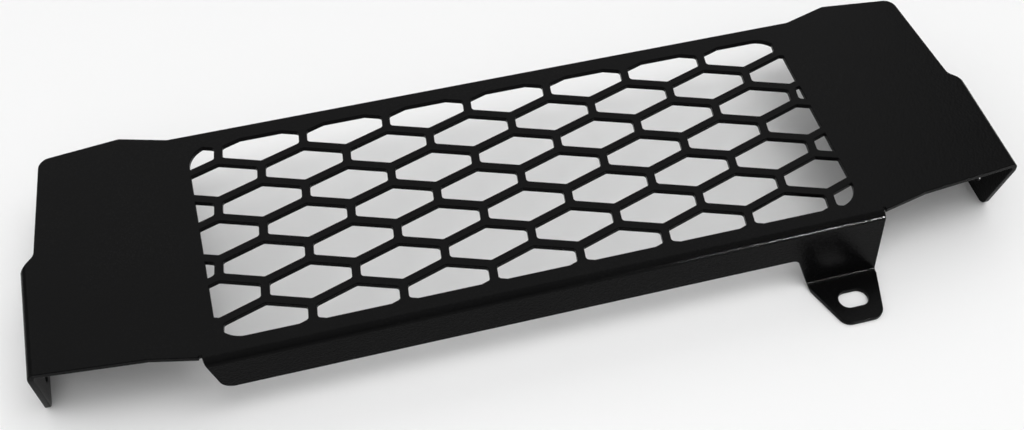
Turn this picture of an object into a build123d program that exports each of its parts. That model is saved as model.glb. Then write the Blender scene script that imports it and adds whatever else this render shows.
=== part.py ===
from build123d import *
import os
from math import ceil, cos, radians, tan

# Motorcycle radiator guard: one sheet, laser cut and folded. A flat plate with a field of leaning hexagon
# windows lies on top. An ear with a bolt hole folds down at each end, a flange folds down along the front, and a
# tab with a bolt slot folds out again from the right end of that flange.
# Millimetres and degrees. X runs from ear to ear, Y from front to back, Z up.

# Sheet and folds
sheet = 2.0
bend_radius = 1.0            # inside every fold
height = 32.8                # top of the plate above the surface that the ears and the tab stand on
ear_span = 341.0             # across the ears' outer faces, level with the plate's top
flange_lean = 2.8            # ears and front flange lean outward from square

# Plate outline: insets are taken inward from an ear's outer face, depths backward from the front fold's outer face
middle_depth = 95.0          # back edge between the wings
middle_inset = 53.0          # end of that edge
wing_inset = 36.5            # wing's inner back corner
wing_rise = 4.7              # inner back corner, behind the middle's back edge
wing_fall = 3.05             # outer back corner, ahead of the inner one
wing_corner_inset = 8.7      # outer back corner
wing_corner_radius = 4.5
shoulder_inset = 4.8         # end edge, where the shoulder widens to the ear
shoulder_depth = 50.9        # where the shoulder's slope meets the ear's face
shoulder_slope = 45.0
shoulder_radius = 3.5
wing_front_inset = 37.2      # turn in the wing's front edge
wing_front_depth = 6.0
wing_front_slope = 12.45     # from that turn to the front fold
wing_turn_radius = 3.0       # easing of the blunt turns in the outline

# Ears
ear_front_depth = 9.4        # front edge at the plate
ear_front_set_back = 7.1     # how far that edge slants back on its way down
ear_foot_depth = 35.4        # back end of the ear's foot
ear_front_radius = 3.5
ear_back_radius = 4.0
ear_hole_diameter = 6.5
ear_hole_depth = 25.7
ear_hole_height = 8.3

# Front flange
flange_left_inset = 53.5
flange_right_inset = 54.9
flange_drop = 15.7           # below the plate's top
flange_left_taper = 15.5
flange_right_flare = 4.2
flange_corner_radius = 5.0
slit_width = 0.9             # relief cut at each end of the fold
slit_past_fold = 0.3         # how far it runs into the flat plate

# Tab
tab_inset = 65.1             # slot axis from the right ear's face
tab_reach = 20.7             # tip, ahead of the front fold's outer face
neck_left = 19.6             # slot axis to the neck's left edge, at the flange's bottom edge
neck_radius = 3.5
tab_left_taper = 21.0        # of the neck too: one straight cut before the folding
tab_right_taper = 15.5
tab_tip_radius = 4.5
slot_length = 11.0
slot_width = 7.0
slot_reach = 11.2            # slot's middle, ahead of the front fold's outer face

# Perforated field
field_width = 221.0
field_front_depth = 7.3      # front edge of the field
field_back_margin = 5.8      # from the field to the middle's back edge
field_shift = -0.85          # field's middle from the middle of the plate
field_radius = 9.0
column_pitch = 30.0
row_pitch = 12.3
web = 3.0
web_slope = 18.9             # of the long webs
pattern_lean = 7.3           # columns lean to the right toward the back
pattern_shift_x = 0.25       # middle of the pattern from the field's middle
pattern_shift_y = -0.55
window_radius = 1.2

# Worked out from the values above
ear_face = ear_span / 2
fold_radius = bend_radius + sheet / 2
fold_drop = bend_radius + sheet
through = ear_span + height
plate_middle = height - sheet / 2
left_end = flange_left_inset - ear_face
right_end = ear_face - flange_right_inset
tab_x = ear_face - tab_inset
ear_front_skew = (ear_front_depth - wing_front_depth) / wing_front_inset
field_depth = middle_depth - field_back_margin - field_front_depth
field_y = field_front_depth + field_depth / 2
smallest_window = web * sheet / 2    # area of a cut-off window that is still worth cutting

# Views that outlines are drawn in: front (X, Z), side (Y, Z), and ahead of the front fold (outward, Z)
front_view = Plane.XZ
side_view = Plane.YZ
ahead_view = Plane(origin=(0, 0, 0), x_dir=(0, -1, 0), z_dir=(-1, 0, 0))


def slope(angle):
    return tan(radians(angle))


def prism(view, points, radii):
    """Solid that shows the given outline in the given view."""
    outline = FilletPolyline(*points, radius=radii, close=True)
    return extrude(view * make_face(outline), amount=through, both=True)


def leg_middle(face, level):
    """Place of a leaning leg's middle line at a level, from its outer face at the plate's top."""
    return face + (height - level) * slope(flange_lean) - sheet / 2 / cos(radians(flange_lean))


def folded_sheet(view, points):
    """Long strip of sheet whose middle line is the given path, with a fold at each corner."""
    path = FilletPolyline(*points, radius=fold_radius)
    return extrude(view * trace(path, line_width=sheet), amount=through, both=True)


def plate_outline():
    """Plan of the plate and of both ears, as points with a corner radius each."""
    outside = ear_face + height
    shoulder_x = ear_face - shoulder_inset
    shoulder_y = shoulder_depth + shoulder_inset * slope(shoulder_slope)
    outside_y = shoulder_depth - height * slope(shoulder_slope)
    front_turn_x = ear_face - wing_front_inset
    corners = [
        (ear_face - middle_inset, middle_depth, wing_turn_radius),
        (ear_face - wing_inset, middle_depth + wing_rise, wing_turn_radius),
        (ear_face - wing_corner_inset, middle_depth + wing_rise - wing_fall, wing_corner_radius),
        (shoulder_x, shoulder_y, shoulder_radius),
        (outside, outside_y, 0),
        (outside, ear_front_depth + ear_front_skew * height, 0),
        (front_turn_x, wing_front_depth, wing_turn_radius),
    ]
    right = corners + wing_front_end(right_end, front_turn_x)
    left = corners + wing_front_end(-left_end, front_turn_x)
    return right + [(-x, y, radius) for x, y, radius in reversed(left)]


def wing_front_end(flange_end, front_turn_x):
    """End of a wing's front edge beside the front fold, with the relief slit that parts them."""
    x = flange_end + slit_width
    y = wing_front_depth - (front_turn_x - x) * slope(wing_front_slope)
    slit_end = fold_drop + slit_past_fold
    return [(x, y, 0), (x, slit_end, 0), (flange_end, slit_end, 0), (flange_end, fold_drop, 0)]


def plate_with_ears():
    """Channel of plate and ears, cut to the plan outline and to the ears' side view."""
    corner = leg_middle(ear_face, plate_middle)
    toe = leg_middle(ear_face, -sheet)
    right_leg = [(corner, plate_middle), (toe, -sheet)]
    left_leg = [(-toe, -sheet), (-corner, plate_middle)]
    channel = folded_sheet(front_view, left_leg + right_leg)
    outline = plate_outline()
    plan = prism(Plane.XY, [(x, y) for x, y, _ in outline], [radius for _, _, radius in outline])
    below_fold = height - fold_drop
    front_below_fold = ear_front_depth - fold_drop * ear_front_skew
    back_below_fold = shoulder_depth + fold_drop * slope(shoulder_slope)
    ears = prism(
        side_view,
        [
            (-through, through),
            (-through, below_fold),
            (front_below_fold, below_fold),
            (ear_front_depth + ear_front_set_back, 0),
            (ear_foot_depth, 0),
            (back_below_fold, below_fold),
            (through, below_fold),
            (through, through),
        ],
        [0, 0, 0, ear_front_radius, ear_back_radius, 0, 0, 0],
    )
    return channel & plan & ears


def front_flange_with_tab():
    """Front flange and tab: one folded strip, cut to the flange's front view and to the tab's plan."""
    tab_level = sheet / 2
    crease = leg_middle(0, tab_level)
    strip = folded_sheet(
        ahead_view,
        [
            (-2 * fold_drop, plate_middle),
            (leg_middle(0, plate_middle), plate_middle),
            (crease, tab_level),
            (tab_reach + sheet, tab_level),
        ],
    )
    bottom = height - flange_drop
    neck_x = tab_x - neck_left
    flange = prism(
        front_view,
        [
            (left_end - sheet * slope(flange_left_taper), height + sheet),
            (left_end + flange_drop * slope(flange_left_taper), bottom),
            (neck_x, bottom),
            (neck_x + (bottom + sheet) * slope(tab_left_taper), -sheet),
            (right_end + (height + sheet) * slope(flange_right_flare), -sheet),
            (right_end - sheet * slope(flange_right_flare), height + sheet),
        ],
        [0, flange_corner_radius, neck_radius, 0, 0, 0],
    )
    fold_top = tab_level + fold_radius
    fold_end = crease + fold_radius
    fold_face = (height - fold_top) * slope(flange_lean)
    left = neck_x + (bottom - fold_top) * slope(tab_left_taper)
    right = right_end + height * slope(flange_right_flare)
    tab = prism(
        Plane.XY,
        [
            (-through, through),
            (-through, -fold_face),
            (left, -fold_face),
            (left + (tab_reach - fold_face) * slope(tab_left_taper), -tab_reach),
            (right - (tab_reach - fold_end) * slope(tab_right_taper), -tab_reach),
            (right, -fold_end),
            (through, -fold_end),
            (through, through),
        ],
        [0, 0, 0, tab_tip_radius, tab_tip_radius, 0, 0, 0],
    )
    slot = Pos(tab_x, -slot_reach) * SlotOverall(slot_length, slot_width)
    return (strip & flange & tab) - extrude(slot, amount=fold_drop)


def window_profile():
    """One window: a hexagon stretched along X that leans with the pattern."""
    half_column = column_pitch / 2
    side = (row_pitch - half_column * slope(web_slope)) / 2
    half_width = half_column - web / 2
    peak = side + half_column * slope(web_slope) - web / 2 / cos(radians(web_slope))
    shoulder = peak - half_width * slope(web_slope)
    upper = [(half_width, shoulder), (0, peak), (-half_width, shoulder)]
    corners = upper + [(-x, -y) for x, y in upper]
    leaning = [(x + y * slope(pattern_lean), y) for x, y in corners]
    return make_face(FilletPolyline(*leaning, radius=window_radius, close=True))


def window_cutters():
    """Windows of the lattice that fall inside the rounded field, as cutters through the plate."""
    field = Pos(field_shift, field_y) * RectangleRounded(field_width, field_depth, field_radius)
    window = window_profile()
    rows = ceil(field_depth / 2 / row_pitch)
    columns = ceil(field_width / 2 / column_pitch) + 1
    cutters = []
    for row in range(-rows, rows + 1):
        half_step = 0.5 if row % 2 == 0 else 0.0
        for column in range(-columns, columns + 1):
            y = row * row_pitch + pattern_shift_y
            x = (column + half_step) * column_pitch + y * slope(pattern_lean) + pattern_shift_x
            inside = Pos(x + field_shift, y + field_y) * window & field
            for face in inside.faces():
                if face.area > smallest_window:
                    cutters.append(extrude(Pos(0, 0, height) * face, amount=sheet, both=True))
    return cutters


def ear_holes():
    """Bolt holes square to the leaning ears."""
    face = ear_face + (height - ear_hole_height) * slope(flange_lean)
    seat = Plane((face, ear_hole_depth, ear_hole_height)).rotated((0, 90 - flange_lean, 0))
    hole = seat * Cylinder(ear_hole_diameter / 2, 4 * sheet)
    return [hole, mirror(hole, about=Plane.YZ)]


def radiator_guard():
    """The whole folded sheet, with its origin under its middle."""
    guard = plate_with_ears() + front_flange_with_tab()
    guard = guard - ear_holes() - window_cutters()
    box = guard.bounding_box()
    return Pos(-box.center().X, -box.center().Y, -box.min.Z) * guard


os.makedirs("parts", exist_ok=True)
export_step(radiator_guard(), "parts/radiator_guard.step")
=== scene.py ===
import math

import bmesh
import bpy
from bpy.props import FloatProperty, FloatVectorProperty, IntProperty, PointerProperty
from mathutils import Matrix, Vector


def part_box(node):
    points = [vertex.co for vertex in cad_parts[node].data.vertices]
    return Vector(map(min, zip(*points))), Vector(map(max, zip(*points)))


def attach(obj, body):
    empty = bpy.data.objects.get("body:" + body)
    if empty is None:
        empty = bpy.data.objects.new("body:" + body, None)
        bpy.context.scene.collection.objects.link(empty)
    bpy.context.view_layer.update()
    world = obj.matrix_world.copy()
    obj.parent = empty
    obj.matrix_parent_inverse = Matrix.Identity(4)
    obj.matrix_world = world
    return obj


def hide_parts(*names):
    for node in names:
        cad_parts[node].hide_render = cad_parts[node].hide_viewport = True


bl_info = {
    "name": "Radiator guard",
    "version": (1, 0, 0),
    "blender": (4, 5, 0),
    "location": "3D View > Sidebar > Radiator guard",
    "description": "Folded sheet-metal radiator guard with leaning hexagon windows, and its stage",
    "category": "Object",
}

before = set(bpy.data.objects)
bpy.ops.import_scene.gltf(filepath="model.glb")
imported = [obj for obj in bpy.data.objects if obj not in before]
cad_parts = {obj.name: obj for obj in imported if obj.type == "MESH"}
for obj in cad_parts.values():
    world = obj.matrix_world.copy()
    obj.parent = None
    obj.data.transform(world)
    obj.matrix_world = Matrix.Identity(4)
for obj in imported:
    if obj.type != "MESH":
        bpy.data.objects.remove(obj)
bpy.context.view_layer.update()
GUARD_NODE = "radiator_guard"
PLATE_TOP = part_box(GUARD_NODE)[1].z

WELD = 1e-6                          # metres within which two points of the frame's mesh are one
FLAT = 1e-5                          # metres within which a point lies in the plate's faces
SAME_PLANE = math.radians(0.5)       # faces that turn less than this are one flat face
RIM_ANGLE = math.radians(50)         # edges that turn more than this are cut rims, not folds
HEXAGON = 6
RING_SHOULDER = 0.5                  # a hexagon's shoulders, as a share of its peaks' distance
FACES_UP = 0.5                       # faces whose normal rises more than this are tops
FLAT_WEIGHT = 100                    # pull of the large flat faces on the shading at their rims

# Cutters, in thicknesses of the sheet: each floor is measured from the plate's top
WINDOW_FLOOR = -2.0
WINDOW_HEIGHT = 3.0
FIELD_FLOOR = -3.0
FIELD_HEIGHT = 6.0
FIELD_CORNER_STEPS = 2.0             # points on the field's corner for each on a window's corner

# Coat and floor
DUST_FINENESS = 2.2                  # grains of dust across one pebble
DUST_SHARE = 0.5                     # height of the dust beside the pebbles
CREST_LOW, CREST_HIGH = 0.7, 1.3     # heights between which a crest begins
DRIFT_LOW, DRIFT_HIGH = 0.3, 0.7     # part of the noise that is stretched from 0 to 1
FLOOR_PATCH = 0.2                    # metres across one patch of the floor
FLOOR_CHANGE = 0.1                   # rise of the floor's roughness from patch to patch
MIX_FACTOR, MIX_A, MIX_B, MIX_RESULT = 0, 6, 7, 2    # colour sockets of a mix node

# Lamps: where each stands, and its sides, in metres
# The gloss lamp stands below the plate's level, so that the flat top mirrors it in no view
TOP_LAMP = ((0.15, -0.3, 1.3), (1.0, 0.6))
GLOSS_LAMP = ((0.37, -0.575, 0.018), (0.13, 0.024))
SHEEN_LAMP = ((-0.05, 0.93, 1.30), (2.2, 1.5))
SIDE_LAMP = ((-1.2, 0.2, 0.7), (0.8, 0.8))
MIDDLE = (0.0, 0.0, PLATE_TOP / 2)
FOLD_END = (0.1, -0.04, PLATE_TOP)   # right part of the front fold, along which a line of light shows
WHITE = (1.0, 1.0, 1.0, 1.0)


def length(label, words, value):
    return FloatProperty(name=label, description=words, default=value, min=0.0, precision=5, unit="LENGTH")


def angle(label, words, degrees):
    return FloatProperty(name=label, description=words, default=math.radians(degrees), subtype="ANGLE")


def amount(label, words, value, top=1.0):
    return FloatProperty(name=label, description=words, default=value, min=0.0, max=top, precision=4)


def power(label, words, watts):
    return FloatProperty(name=label, description=words, default=watts, min=0.0, unit="POWER")


def place(label, words, metres):
    return FloatVectorProperty(
        name=label, description=words, default=metres, precision=5, subtype="TRANSLATION"
    )


def colour(label, words, red_green_blue):
    return FloatVectorProperty(
        name=label,
        description=words,
        default=red_green_blue,
        min=0.0,
        max=1.0,
        precision=4,
        subtype="COLOR",
    )


def whole(label, words, value, least):
    return IntProperty(name=label, description=words, default=value, min=least)


class GuardSizes(bpy.types.PropertyGroup):
    """Sizes of the windows and of the cut edges."""

    sheet: length("Sheet", "Thickness of the sheet", 0.002)
    column_pitch: length("Column pitch", "From one column of windows to the next", 0.030)
    row_pitch: length("Row pitch", "From one row of windows to the next", 0.0123)
    web: length("Web", "Metal left between two windows", 0.003)
    web_slope: angle("Web slope", "Slope of the long webs", 18.9)
    lean: angle("Lean", "Lean of the columns towards the back", 7.3)
    window_radius: length("Window radius", "Corner radius of a window", 0.0012)
    field_width: length("Field width", "Width of the perforated field", 0.221)
    field_depth: length("Field depth", "Depth of the perforated field", 0.0819)
    field_radius: length("Field radius", "Corner radius of the perforated field", 0.009)
    smallest_window: FloatProperty(
        name="Smallest window",
        description="Area of a cut-off window that is still worth cutting",
        default=3e-6,
        precision=7,
        unit="AREA",
    )
    field_centre: place(
        "Field centre", "Middle of the field, on the plate's top", (-0.00085, 0.008773, PLATE_TOP)
    )
    pattern_shift: place(
        "Pattern shift", "Middle of the pattern from the field's middle", (0.00025, -0.00055, 0.0)
    )
    corner_steps: whole("Corner steps", "Points on a window's corner", 7, 2)
    edge_round: length("Edge round", "Rounding that the coat leaves on a cut edge", 0.0003)
    edge_steps: whole("Edge steps", "Faces across a rounded edge", 3, 1)


class CoatFinish(bpy.types.PropertyGroup):
    """Black powder coat."""

    deep: colour("Deep", "Colour of the coat where it is thickest", (0.0032, 0.0032, 0.0033))
    thin: colour("Thin", "Colour of the coat where it is thinnest", (0.0062, 0.0062, 0.0064))
    gloss_low: amount("Smooth", "Roughness of the smoothest patches", 0.16)
    gloss_high: amount("Dull", "Roughness of the dullest patches", 0.20)
    shine: amount("Shine", "Strength of the mirror light at right angles", 0.035)
    grain_size: length("Grain size", "Width of one grain of the coat", 0.0008)
    grain_depth: length("Grain depth", "Height of the grain", 0.00005)
    drift_size: length("Drift size", "Width of one patch of thicker coat", 0.035)


class GuardStage(bpy.types.PropertyGroup):
    """Floor, sky, lamps and camera."""

    floor_colour: colour("Floor colour", "Colour of the floor sheet", (0.92, 0.92, 0.92))
    floor_size: length("Floor size", "Side of the floor sheet", 40.0)
    floor_dull: amount("Floor dullness", "Roughness of the floor sheet", 0.80)
    sky_low: amount("Low sky", "Strength of the light from the horizon", 0.12)
    sky_high: amount("High sky", "Strength of the light from straight above", 1.00)
    sky_glow: amount("Horizon glow", "Strength added along the horizon", 0.50)
    glow_fall: amount("Glow fall", "How quickly the glow fades upwards", 12.0, top=100.0)
    top_power: power("Top lamp", "Power of the wide lamp overhead", 6.1)
    gloss_power: power("Gloss lamp", "Power of the low lamp ahead, which only the gloss shows", 0.055)
    gloss_spread: angle("Gloss spread", "How widely that lamp's beam fans out", 10.0)
    sheen_power: power("Sheen lamp", "Power of the wide lamp behind, which only the gloss shows", 13.0)
    side_power: power("Side lamp", "Power of the lamp on the left", 2.0)
    camera_place: place("Camera place", "Where the camera stands", (-0.0846, -0.27191, 0.39448))
    camera_aim: place("Camera aim", "Point in the middle of the picture", (-0.008313, -0.007383, 0.0328))
    camera_roll: angle("Camera roll", "Turn of the camera about its line of sight", 1.2)
    camera_lens: FloatProperty(
        name="Lens", description="Focal length on a 36 mm wide sensor", default=47.08, unit="CAMERA"
    )


# Node trees

def feed(tree, socket, value):
    """Links a socket to another one, or sets it to a plain value."""
    if isinstance(value, bpy.types.NodeSocket):
        tree.links.new(value, socket)
    else:
        socket.default_value = value


def add_node(tree, kind, settings=None, feeds=None):
    node = tree.nodes.new(kind)
    for name, value in (settings or {}).items():
        setattr(node, name, value)
    for name, value in (feeds or {}).items():
        feed(tree, node.inputs[name], value)
    return node


def figure(tree, operation, *values):
    """One step of arithmetic on sockets and numbers."""
    node = add_node(tree, "ShaderNodeMath", {"operation": operation})
    for socket, value in zip(node.inputs, values):
        feed(tree, socket, value)
    return node.outputs["Value"]


def half(tree, value):
    return figure(tree, "MULTIPLY", value, 0.5)


def point(tree, x, y, z):
    return add_node(tree, "ShaderNodeCombineXYZ", feeds={"X": x, "Y": y, "Z": z}).outputs["Vector"]


def blade(tree, outline, height):
    """Closed prism on a closed flat curve."""
    base = add_node(tree, "GeometryNodeFillCurve", {"mode": "NGONS"}, {"Curve": outline}).outputs["Mesh"]
    walls = add_node(
        tree,
        "GeometryNodeExtrudeMesh",
        {"mode": "FACES"},
        {"Mesh": base, "Offset": (0.0, 0.0, 1.0), "Offset Scale": height, "Individual": False},
    )
    under = add_node(tree, "GeometryNodeFlipFaces", feeds={"Mesh": base})
    both = add_node(tree, "GeometryNodeJoinGeometry")
    tree.links.new(walls.outputs["Mesh"], both.inputs["Geometry"])
    tree.links.new(under.outputs["Mesh"], both.inputs["Geometry"])
    closed = add_node(
        tree, "GeometryNodeMergeByDistance", feeds={"Geometry": both.outputs["Geometry"], "Distance": WELD}
    )
    return closed.outputs["Geometry"]


def round_corners(tree, outline, radius, steps):
    node = add_node(
        tree,
        "GeometryNodeFilletCurve",
        {"mode": "POLY"},
        {"Curve": outline, "Radius": radius, "Count": steps, "Limit Radius": True},
    )
    return node.outputs["Curve"]


def window_outline(tree, given):
    """Hexagon stretched along X, which leans with the pattern."""
    half_column = half(tree, given["Column pitch"])
    half_web = half(tree, given["Web"])
    slope = figure(tree, "TANGENT", given["Web slope"])
    rise = figure(tree, "MULTIPLY", half_column, slope)
    side = half(tree, figure(tree, "SUBTRACT", given["Row pitch"], rise))
    half_width = figure(tree, "SUBTRACT", half_column, half_web)
    web_share = figure(tree, "DIVIDE", half_web, figure(tree, "COSINE", given["Web slope"]))
    peak = figure(tree, "SUBTRACT", figure(tree, "ADD", side, rise), web_share)
    shoulder = figure(tree, "SUBTRACT", peak, figure(tree, "MULTIPLY", half_width, slope))

    # Six points on a ring, whose X becomes the window's depth and whose Y becomes its width
    ring = add_node(
        tree, "GeometryNodeCurvePrimitiveCircle", {"mode": "RADIUS"}, {"Resolution": HEXAGON, "Radius": 1.0}
    )
    spot = add_node(tree, "GeometryNodeInputPosition").outputs["Position"]
    along = add_node(tree, "ShaderNodeSeparateXYZ", feeds={"Vector": spot})
    past_shoulder = (1.0 + RING_SHOULDER) / 2
    is_peak = figure(tree, "GREATER_THAN", figure(tree, "ABSOLUTE", along.outputs["X"]), past_shoulder)
    shoulder_reach = figure(tree, "DIVIDE", shoulder, RING_SHOULDER)
    beyond = figure(tree, "SUBTRACT", peak, shoulder_reach)
    reach = figure(tree, "MULTIPLY_ADD", is_peak, beyond, shoulder_reach)
    y = figure(tree, "MULTIPLY", along.outputs["X"], reach)
    ring_width = math.sin(math.tau / HEXAGON)
    stretch = figure(tree, "DIVIDE", half_width, -ring_width)
    straight = figure(tree, "MULTIPLY", along.outputs["Y"], stretch)
    x = figure(tree, "MULTIPLY_ADD", y, figure(tree, "TANGENT", given["Lean"]), straight)
    hexagon = add_node(
        tree,
        "GeometryNodeSetPosition",
        feeds={"Geometry": ring.outputs["Curve"], "Position": point(tree, x, y, 0.0)},
    )
    return round_corners(tree, hexagon.outputs["Geometry"], given["Window radius"], given["Corner steps"])


def window_places(tree, given):
    """Points of the leaning lattice, each second row half a column along."""

    def on_both_sides(count):
        """So many on each side, and the middle one."""
        return figure(tree, "MULTIPLY_ADD", count, 2.0, 1.0)

    half_rows = figure(tree, "DIVIDE", half(tree, given["Field depth"]), given["Row pitch"])
    half_columns = figure(tree, "DIVIDE", half(tree, given["Field width"]), given["Column pitch"])
    rows = figure(tree, "CEIL", half_rows)
    columns = figure(tree, "ADD", figure(tree, "CEIL", half_columns), 1.0)
    across = on_both_sides(columns)
    count = figure(tree, "MULTIPLY", on_both_sides(rows), across)

    index = add_node(tree, "GeometryNodeInputIndex").outputs["Index"]
    row = figure(tree, "SUBTRACT", figure(tree, "FLOOR", figure(tree, "DIVIDE", index, across)), rows)
    column = figure(tree, "SUBTRACT", figure(tree, "FLOORED_MODULO", index, across), columns)
    odd = figure(tree, "FLOORED_MODULO", row, 2.0)
    half_step = figure(tree, "MULTIPLY_ADD", odd, -0.5, 0.5)
    shift = add_node(tree, "ShaderNodeSeparateXYZ", feeds={"Vector": given["Pattern shift"]})
    y = figure(tree, "MULTIPLY_ADD", row, given["Row pitch"], shift.outputs["Y"])
    leaning = figure(tree, "MULTIPLY_ADD", y, figure(tree, "TANGENT", given["Lean"]), shift.outputs["X"])
    steps = figure(tree, "ADD", column, half_step)
    x = figure(tree, "MULTIPLY_ADD", steps, given["Column pitch"], leaning)
    z = figure(tree, "MULTIPLY", given["Sheet"], WINDOW_FLOOR)
    node = add_node(tree, "GeometryNodePoints", feeds={"Count": count, "Position": point(tree, x, y, z)})
    return node.outputs["Points"]


def without_slivers(tree, blades, smallest):
    """Leaves out the blades whose top face is smaller than the given area."""
    normal = add_node(tree, "GeometryNodeInputNormal").outputs["Normal"]
    upward = add_node(tree, "ShaderNodeSeparateXYZ", feeds={"Vector": normal}).outputs["Z"]
    is_top = figure(tree, "GREATER_THAN", upward, FACES_UP)
    area = add_node(tree, "GeometryNodeInputMeshFaceArea").outputs["Area"]
    island = add_node(tree, "GeometryNodeInputMeshIsland").outputs["Island Index"]
    sums = add_node(tree, "GeometryNodeAccumulateField", {"data_type": "FLOAT", "domain": "FACE"})
    feed(tree, sums.inputs["Value"], figure(tree, "MULTIPLY", is_top, area))
    feed(tree, sums.inputs["Group ID"], island)
    small = figure(tree, "LESS_THAN", sums.outputs["Total"], smallest)
    node = add_node(
        tree, "GeometryNodeDeleteGeometry", {"domain": "FACE"}, {"Geometry": blades, "Selection": small}
    )
    return node.outputs["Geometry"]


WINDOW_LENGTHS = (
    "sheet",
    "column_pitch",
    "row_pitch",
    "web",
    "window_radius",
    "field_width",
    "field_depth",
    "field_radius",
)
WINDOW_ANGLES = ("web_slope", "lean")
WINDOW_PLACES = ("field_centre", "pattern_shift")


def shown_name(sizes, key):
    return sizes.bl_rna.properties[key].name


def window_tree(sizes):
    """Tree that cuts the lattice of windows, trimmed to the rounded field, out of the plate."""
    tree = bpy.data.node_groups.new("Leaning hexagon windows", "GeometryNodeTree")

    def new_input(name, kind, subtype=None):
        socket = tree.interface.new_socket(name, in_out="INPUT", socket_type=kind)
        if subtype:
            socket.subtype = subtype

    new_input("Geometry", "NodeSocketGeometry")
    for key in WINDOW_LENGTHS:
        new_input(shown_name(sizes, key), "NodeSocketFloat", "DISTANCE")
    for key in WINDOW_ANGLES:
        new_input(shown_name(sizes, key), "NodeSocketFloat", "ANGLE")
    for key in WINDOW_PLACES:
        new_input(shown_name(sizes, key), "NodeSocketVector", "TRANSLATION")
    new_input(shown_name(sizes, "smallest_window"), "NodeSocketFloat")
    new_input(shown_name(sizes, "corner_steps"), "NodeSocketInt")
    new_input("Coat", "NodeSocketMaterial")
    tree.interface.new_socket("Geometry", in_out="OUTPUT", socket_type="NodeSocketGeometry")
    given = add_node(tree, "NodeGroupInput").outputs

    blade_height = figure(tree, "MULTIPLY", given["Sheet"], WINDOW_HEIGHT)
    window = blade(tree, window_outline(tree, given), blade_height)
    lattice = add_node(
        tree,
        "GeometryNodeInstanceOnPoints",
        feeds={"Points": window_places(tree, given), "Instance": window},
    )
    windows = add_node(
        tree, "GeometryNodeRealizeInstances", feeds={"Geometry": lattice.outputs["Instances"]}
    )

    rectangle = add_node(
        tree,
        "GeometryNodeCurvePrimitiveQuadrilateral",
        {"mode": "RECTANGLE"},
        {"Width": given["Field width"], "Height": given["Field depth"]},
    )
    field_steps = figure(tree, "MULTIPLY", given["Corner steps"], FIELD_CORNER_STEPS)
    field_outline = round_corners(tree, rectangle.outputs["Curve"], given["Field radius"], field_steps)
    field_block = blade(tree, field_outline, figure(tree, "MULTIPLY", given["Sheet"], FIELD_HEIGHT))
    field_drop = point(tree, 0.0, 0.0, figure(tree, "MULTIPLY", given["Sheet"], FIELD_FLOOR))
    field = add_node(
        tree, "GeometryNodeTransform", feeds={"Geometry": field_block, "Translation": field_drop}
    )

    trimmed = add_node(tree, "GeometryNodeMeshBoolean", {"operation": "INTERSECT", "solver": "EXACT"})
    tree.links.new(windows.outputs["Geometry"], trimmed.inputs["Mesh 2"])
    tree.links.new(field.outputs["Geometry"], trimmed.inputs["Mesh 2"])
    kept = without_slivers(tree, trimmed.outputs["Mesh"], given["Smallest window"])
    blades = add_node(
        tree, "GeometryNodeTransform", feeds={"Geometry": kept, "Translation": given["Field centre"]}
    )

    cut = add_node(tree, "GeometryNodeMeshBoolean", {"operation": "DIFFERENCE", "solver": "EXACT"})
    tree.links.new(given["Geometry"], cut.inputs["Mesh 1"])
    tree.links.new(blades.outputs["Geometry"], cut.inputs["Mesh 2"])
    real = add_node(tree, "GeometryNodeRealizeInstances", feeds={"Geometry": cut.outputs["Mesh"]})
    coated = add_node(
        tree,
        "GeometryNodeSetMaterial",
        feeds={"Geometry": real.outputs["Geometry"], "Material": given["Coat"]},
    )
    last = add_node(tree, "NodeGroupOutput")
    tree.links.new(coated.outputs["Geometry"], last.inputs["Geometry"])
    return tree


# Folded sheet

def plain_mesh(piece, name):
    """The piece's mesh with its modifiers worked in."""
    bpy.context.view_layer.update()
    shown = piece.evaluated_get(bpy.context.evaluated_depsgraph_get())
    mesh = bpy.data.meshes.new_from_object(shown)
    mesh.name = name
    return mesh


def sheet_blank(sizes):
    """The frame's folded sheet with its windows closed and its flat faces whole."""
    shape = bmesh.new()
    shape.from_mesh(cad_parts[GUARD_NODE].data)
    bmesh.ops.remove_doubles(shape, verts=shape.verts, dist=WELD)
    top = sizes.field_centre.z
    levels = (top, top - sizes.sheet)
    reach_x = sizes.field_width / 2 + FLAT
    reach_y = sizes.field_depth / 2 + FLAT

    def in_plate_face(face):
        heights = [corner.co.z for corner in face.verts]
        return any(all(abs(height - level) < FLAT for height in heights) for level in levels)

    def in_field(face):
        offsets = [corner.co - sizes.field_centre for corner in face.verts]
        return all(abs(offset.x) < reach_x and abs(offset.y) < reach_y for offset in offsets)

    opened = [face for face in shape.faces if in_plate_face(face) or in_field(face)]
    bmesh.ops.delete(shape, geom=opened, context="FACES")
    rims = [edge for edge in shape.edges if edge.is_boundary]
    bmesh.ops.edgeloop_fill(shape, edges=rims)
    bmesh.ops.recalc_face_normals(shape, faces=shape.faces)
    bmesh.ops.dissolve_limit(
        shape, angle_limit=SAME_PLANE, use_dissolve_boundaries=False, verts=shape.verts, edges=shape.edges
    )
    mesh = bpy.data.meshes.new("sheet_blank")
    shape.to_mesh(mesh)
    shape.free()
    return mesh


def cut_windows(piece, sizes, coat):
    """Cuts the windows with their node tree, coats the sheet and keeps the result as a plain mesh."""
    tree = window_tree(sizes)
    modifier = piece.modifiers.new("Windows", "NODES")
    modifier.node_group = tree
    keys = WINDOW_LENGTHS + WINDOW_ANGLES + WINDOW_PLACES + ("smallest_window", "corner_steps")
    values = {shown_name(sizes, key): getattr(sizes, key) for key in keys}
    values["Coat"] = coat
    for item in tree.interface.items_tree:
        if item.in_out == "INPUT" and item.name in values:
            modifier[item.identifier] = values[item.name]
    piece.data = plain_mesh(piece, "sheet_with_windows")
    piece.modifiers.clear()


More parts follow.
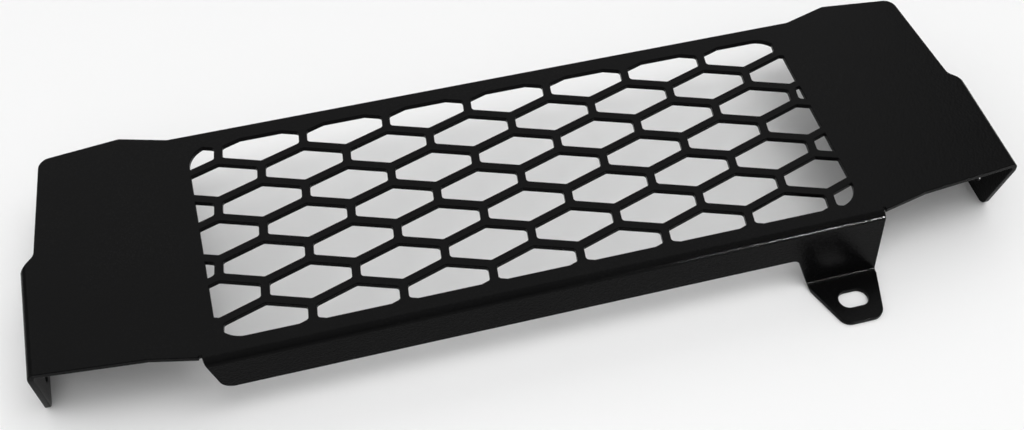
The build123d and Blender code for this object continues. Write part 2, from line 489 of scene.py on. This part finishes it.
def round_edges(piece, sizes):
    """Coat's rounding on every cut rim, with flat faces shaded flat."""
    bevel = piece.modifiers.new("Coat on the edges", "BEVEL")
    bevel.width = sizes.edge_round
    bevel.segments = sizes.edge_steps
    bevel.limit_method = "ANGLE"
    bevel.angle_limit = RIM_ANGLE
    bevel.use_clamp_overlap = False
    piece.data = plain_mesh(piece, "sheet_with_round_edges")
    piece.modifiers.clear()
    piece.data.shade_smooth()
    shading = piece.modifiers.new("Flat faces", "WEIGHTED_NORMAL")
    shading.mode = "FACE_AREA"
    shading.weight = FLAT_WEIGHT
    piece.data = plain_mesh(piece, "radiator_guard_sheet")
    piece.modifiers.clear()


# Finishes

def new_group(name, inputs, outputs):
    """Empty shader node group with its named sockets, and its input and output nodes."""
    group = bpy.data.node_groups.new(name, "ShaderNodeTree")
    for label, kind in inputs.items():
        group.interface.new_socket(label, in_out="INPUT", socket_type=kind)
    for label in outputs:
        group.interface.new_socket(label, in_out="OUTPUT", socket_type="NodeSocketFloat")
    return group, add_node(group, "NodeGroupInput").outputs, add_node(group, "NodeGroupOutput").inputs


def grain_group():
    """Fine pebbled grain: the height of the surface, and a mask of its crests."""
    group, given, result = new_group(
        "Fine grain", {"Vector": "NodeSocketVector", "Size": "NodeSocketFloat"}, ("Height", "Crests")
    )
    scale = figure(group, "DIVIDE", 1.0, given["Size"])
    pebbles = add_node(
        group,
        "ShaderNodeTexVoronoi",
        {"feature": "SMOOTH_F1"},
        {"Vector": given["Vector"], "Scale": scale, "Smoothness": 0.6},
    )
    dust_scale = figure(group, "MULTIPLY", scale, DUST_FINENESS)
    dust = add_node(
        group, "ShaderNodeTexNoise", feeds={"Vector": given["Vector"], "Scale": dust_scale, "Detail": 2.0}
    )
    domes = figure(group, "SUBTRACT", 1.0, pebbles.outputs["Distance"])
    height = figure(group, "MULTIPLY_ADD", dust.outputs["Fac"], DUST_SHARE, domes)
    feed(group, result["Height"], height)
    crests = add_node(
        group,
        "ShaderNodeMapRange",
        {"interpolation_type": "SMOOTHSTEP"},
        {"Value": height, "From Min": CREST_LOW, "From Max": CREST_HIGH},
    )
    feed(group, result["Crests"], crests.outputs["Result"])
    return group


def drift_group():
    """Slow change over the surface, from 0 to 1."""
    group, given, result = new_group(
        "Slow drift", {"Vector": "NodeSocketVector", "Size": "NodeSocketFloat"}, ("Drift",)
    )
    scale = figure(group, "DIVIDE", 1.0, given["Size"])
    cloud = add_node(
        group, "ShaderNodeTexNoise", feeds={"Vector": given["Vector"], "Scale": scale, "Detail": 3.0}
    )
    spread = add_node(
        group,
        "ShaderNodeMapRange",
        {"interpolation_type": "SMOOTHSTEP"},
        {"Value": cloud.outputs["Fac"], "From Min": DRIFT_LOW, "From Max": DRIFT_HIGH},
    )
    feed(group, result["Drift"], spread.outputs["Result"])
    return group


def new_material(name):
    """Material with a principled shader, beside its tree, that shader and object coordinates."""
    material = bpy.data.materials.new(name)
    material.use_nodes = True
    tree = material.node_tree
    tree.nodes.clear()
    shader = add_node(tree, "ShaderNodeBsdfPrincipled")
    last = add_node(tree, "ShaderNodeOutputMaterial")
    tree.links.new(shader.outputs["BSDF"], last.inputs["Surface"])
    where = add_node(tree, "ShaderNodeTexCoord").outputs["Object"]
    return material, tree, shader, where


def use_group(tree, group, **feeds):
    return add_node(tree, "ShaderNodeGroup", {"node_tree": group}, feeds).outputs


def shared_group(name, make):
    """The group of that name, made when it is first used."""
    return bpy.data.node_groups.get(name) or make()


def powder_coat(finish):
    """Black satin powder coat: pebbled grain, with patches that are a little thicker and smoother."""
    material, tree, shader, where = new_material("powder_coat")
    grain = use_group(tree, shared_group("Fine grain", grain_group), Vector=where, Size=finish.grain_size)
    drift = use_group(tree, shared_group("Slow drift", drift_group), Vector=where, Size=finish.drift_size)
    tint = add_node(tree, "ShaderNodeMix", {"data_type": "RGBA"})
    feed(tree, tint.inputs[MIX_FACTOR], figure(tree, "MULTIPLY", grain["Crests"], drift["Drift"]))
    feed(tree, tint.inputs[MIX_A], (*finish.deep, 1.0))
    feed(tree, tint.inputs[MIX_B], (*finish.thin, 1.0))
    feed(tree, shader.inputs["Base Color"], tint.outputs[MIX_RESULT])
    spread = finish.gloss_high - finish.gloss_low
    roughness = figure(tree, "MULTIPLY_ADD", drift["Drift"], spread, finish.gloss_low)
    feed(tree, shader.inputs["Roughness"], roughness)
    shader.inputs["Specular IOR Level"].default_value = finish.shine
    bump = add_node(
        tree,
        "ShaderNodeBump",
        feeds={"Strength": 1.0, "Distance": finish.grain_depth, "Height": grain["Height"]},
    )
    feed(tree, shader.inputs["Normal"], bump.outputs["Normal"])
    return material


def floor_sheet(stage):
    """Dull pale sheet."""
    material, tree, shader, where = new_material("floor_sheet")
    drift = use_group(tree, shared_group("Slow drift", drift_group), Vector=where, Size=FLOOR_PATCH)
    roughness = figure(tree, "MULTIPLY_ADD", drift["Drift"], FLOOR_CHANGE, stage.floor_dull)
    feed(tree, shader.inputs["Roughness"], roughness)
    shader.inputs["Base Color"].default_value = (*stage.floor_colour, 1.0)
    shader.inputs["Specular IOR Level"].default_value = 0.0
    return material


# Stage

def add_object(name, data):
    made = bpy.data.objects.new(name, data)
    bpy.context.scene.collection.objects.link(made)
    return made


def add_lamp(name, stands, size, aim, watts):
    """Soft rectangular lamp that faces a point."""
    lamp = bpy.data.lights.new(name, "AREA")
    lamp.shape = "RECTANGLE"
    lamp.size, lamp.size_y = size
    lamp.energy = watts
    made = add_object(name, lamp)
    sight = Vector(aim) - Vector(stands)
    made.matrix_world = Matrix.Translation(stands) @ sight.to_track_quat("-Z", "Y").to_matrix().to_4x4()
    return made


def add_floor(stage):
    reach = stage.floor_size / 2
    mesh = bpy.data.meshes.new("floor")
    corners = [(-reach, -reach, 0.0), (reach, -reach, 0.0), (reach, reach, 0.0), (-reach, reach, 0.0)]
    mesh.from_pydata(corners, [], [(0, 1, 2, 3)])
    mesh.materials.append(floor_sheet(stage))
    add_object("floor", mesh)


def add_sky(stage):
    """Soft light from all round, stronger from above, with a pale glow along the horizon."""
    world = bpy.data.worlds.new("studio")
    world.use_nodes = True
    tree = world.node_tree
    light = tree.nodes["Background"]
    light.inputs["Color"].default_value = WHITE
    looked = add_node(tree, "ShaderNodeTexCoord").outputs["Generated"]
    upward = add_node(tree, "ShaderNodeSeparateXYZ", feeds={"Vector": looked}).outputs["Z"]
    spread = stage.sky_high - stage.sky_low
    even = figure(tree, "MULTIPLY_ADD", upward, spread, stage.sky_low)
    near_horizon = figure(tree, "POWER", figure(tree, "SUBTRACT", 1.0, upward), stage.glow_fall)
    feed(tree, light.inputs["Strength"], figure(tree, "MULTIPLY_ADD", near_horizon, stage.sky_glow, even))
    bpy.context.scene.world = world


def add_camera(stage):
    view = bpy.data.cameras.new("camera")
    view.lens = stage.camera_lens
    camera = add_object("camera", view)
    sight = Vector(stage.camera_aim) - Vector(stage.camera_place)
    turn = sight.to_track_quat("-Z", "Y").to_matrix() @ Matrix.Rotation(stage.camera_roll, 3, "Z")
    camera.matrix_world = Matrix.Translation(stage.camera_place) @ turn.to_4x4()
    bpy.context.scene.camera = camera


# Operators and panel

class RADIATOR_GUARD_OT_make_sheet(bpy.types.Operator):
    """Make the folded sheet with its windows, round edges and powder coat"""

    bl_idname = "radiator_guard.make_sheet"
    bl_label = "Make folded sheet"

    def execute(self, context):
        sizes = context.scene.guard_sizes
        coat = powder_coat(context.scene.coat_finish)
        piece = add_object("folded_sheet", sheet_blank(sizes))
        cut_windows(piece, sizes, coat)
        round_edges(piece, sizes)
        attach(piece, "root")
        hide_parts(GUARD_NODE)
        return {"FINISHED"}


class RADIATOR_GUARD_OT_set_stage(bpy.types.Operator):
    """Set the floor, the lamps and the camera"""

    bl_idname = "radiator_guard.set_stage"
    bl_label = "Set stage"

    def execute(self, context):
        stage = context.scene.guard_stage
        add_floor(stage)
        add_sky(stage)
        top = add_lamp("top_lamp", *TOP_LAMP, MIDDLE, stage.top_power)
        top.visible_glossy = False
        gloss = add_lamp("gloss_lamp", *GLOSS_LAMP, FOLD_END, stage.gloss_power)
        gloss.visible_diffuse = False
        gloss.data.spread = stage.gloss_spread
        sheen = add_lamp("sheen_lamp", *SHEEN_LAMP, MIDDLE, stage.sheen_power)
        sheen.visible_diffuse = False
        add_lamp("side_lamp", *SIDE_LAMP, MIDDLE, stage.side_power)
        add_camera(stage)
        context.scene.view_settings.view_transform = "Standard"
        return {"FINISHED"}


class RADIATOR_GUARD_PT_sidebar(bpy.types.Panel):
    """Sizes, finish and stage of the radiator guard"""

    bl_idname = "RADIATOR_GUARD_PT_sidebar"
    bl_label = "Radiator guard"
    bl_space_type = "VIEW_3D"
    bl_region_type = "UI"
    bl_category = "Radiator guard"

    def draw(self, context):
        scene = context.scene
        groups = (scene.guard_sizes, scene.coat_finish, scene.guard_stage)
        makers = (RADIATOR_GUARD_OT_make_sheet, None, RADIATOR_GUARD_OT_set_stage)
        for group, maker in zip(groups, makers):
            box = self.layout.box()
            for key in group.__annotations__:
                box.prop(group, key)
            if maker:
                box.operator(maker.bl_idname)


CLASSES = (
    GuardSizes,
    CoatFinish,
    GuardStage,
    RADIATOR_GUARD_OT_make_sheet,
    RADIATOR_GUARD_OT_set_stage,
    RADIATOR_GUARD_PT_sidebar,
)
SETTINGS = {"guard_sizes": GuardSizes, "coat_finish": CoatFinish, "guard_stage": GuardStage}


def register():
    for made in CLASSES:
        bpy.utils.register_class(made)
    for name, group in SETTINGS.items():
        setattr(bpy.types.Scene, name, PointerProperty(type=group))


def unregister():
    for name in SETTINGS:
        delattr(bpy.types.Scene, name)
    for made in reversed(CLASSES):
        bpy.utils.unregister_class(made)


def main():
    register()
    bpy.ops.radiator_guard.make_sheet()
    bpy.ops.radiator_guard.set_stage()


if __name__ == "__main__":
    main()
